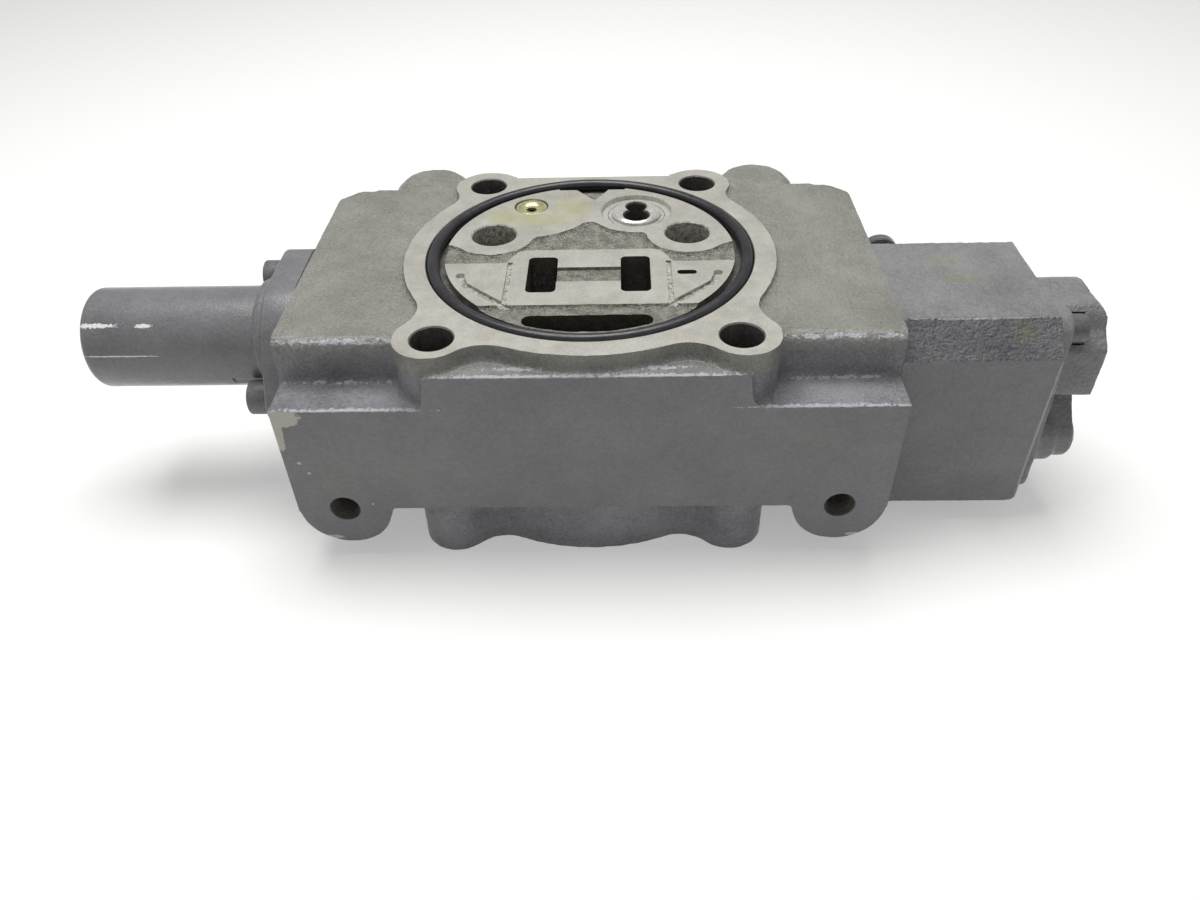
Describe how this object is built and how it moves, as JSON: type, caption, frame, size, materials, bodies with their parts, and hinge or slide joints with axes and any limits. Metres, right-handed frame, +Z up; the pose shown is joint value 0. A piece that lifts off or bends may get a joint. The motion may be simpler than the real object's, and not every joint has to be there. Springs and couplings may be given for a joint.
{
  "type": "boom control valve",
  "caption": "Boom section of a stacked hydraulic directional valve: cast body with a sliding spool, tubular spring cap, end block, sealing face with a large O-ring, and tie-bolt holes.",
  "frame": {"origin": "centre of the bottom mating face, on the axis of the round stack flange", "axes": "+X along the main spool from the spring cap to the end block, +Y from the machined front plate to the work ports, +Z up through the stack"},
  "size_m": [0.4601, 0.1949, 0.1124],
  "materials": {
    "casting_paint": "satin grey paint over rough cast iron, with a bare machined sealing face",
    "cap_paint": "satin grey paint over turned steel, scuffed",
    "block_paint": "satin grey paint over rough cast iron",
    "cover_paint": "satin grey paint over cast iron",
    "fastener_paint": "black screws under a coat of grey paint",
    "ground_steel": "ground and turned hardened steel",
    "spring_steel": "oiled spring wire",
    "yellow_zinc": "yellow zinc plated steel",
    "nitrile_rubber": "oiled black nitrile rubber"
  },
  "bodies": {
    "housing": {"valve_body": "casting_paint", "face_oring": "nitrile_rubber", "orifice_insert": "yellow_zinc", "check_seat": "ground_steel", "check_spring": "spring_steel", "spring_cap": "cap_paint", "spring_cap_oring": "nitrile_rubber", "spring_cap_screw_1": "fastener_paint", "spring_cap_screw_2": "fastener_paint", "end_block": "block_paint", "end_block_oring": "nitrile_rubber", "end_cover": "cover_paint", "end_cover_oring": "nitrile_rubber", "cover_screw_1": "fastener_paint", "cover_screw_2": "fastener_paint", "cover_screw_3": "fastener_paint", "cover_screw_4": "fastener_paint", "block_plug": "fastener_paint", "left_spring": "spring_steel", "right_spring": "spring_steel", "selector_spring": "spring_steel"},
    "spool_train": {"main_spool": "ground_steel", "left_spring_seat": "ground_steel", "left_seat_screw": "ground_steel", "right_spring_seat": "ground_steel", "right_seat_screw": "ground_steel"},
    "load_check": {"check_poppet": "ground_steel"},
    "selector": {"selector_spool": "ground_steel", "selector_spring_seat": "ground_steel"}
  },
  "joints": [
    {"name": "main_spool_slide", "type": "slide", "parent": "housing", "child": "spool_train", "axis": [1, 0, 0], "range_m": [-0.009, 0.009], "stiffness_N_per_m": 6000, "deforming": ["left_spring", "right_spring"]},
    {"name": "check_lift", "type": "slide", "parent": "housing", "child": "load_check", "axis": [0, 0, -1], "range_m": [0, 0.006], "stiffness_N_per_m": 800, "springref_m": -0.004, "deforming": ["check_spring"]},
    {"name": "selector_slide", "type": "slide", "parent": "housing", "child": "selector", "axis": [1, 0, 0], "range_m": [0, 0.005], "stiffness_N_per_m": 1500, "springref_m": -0.002, "deforming": ["selector_spring"]}
  ]
}
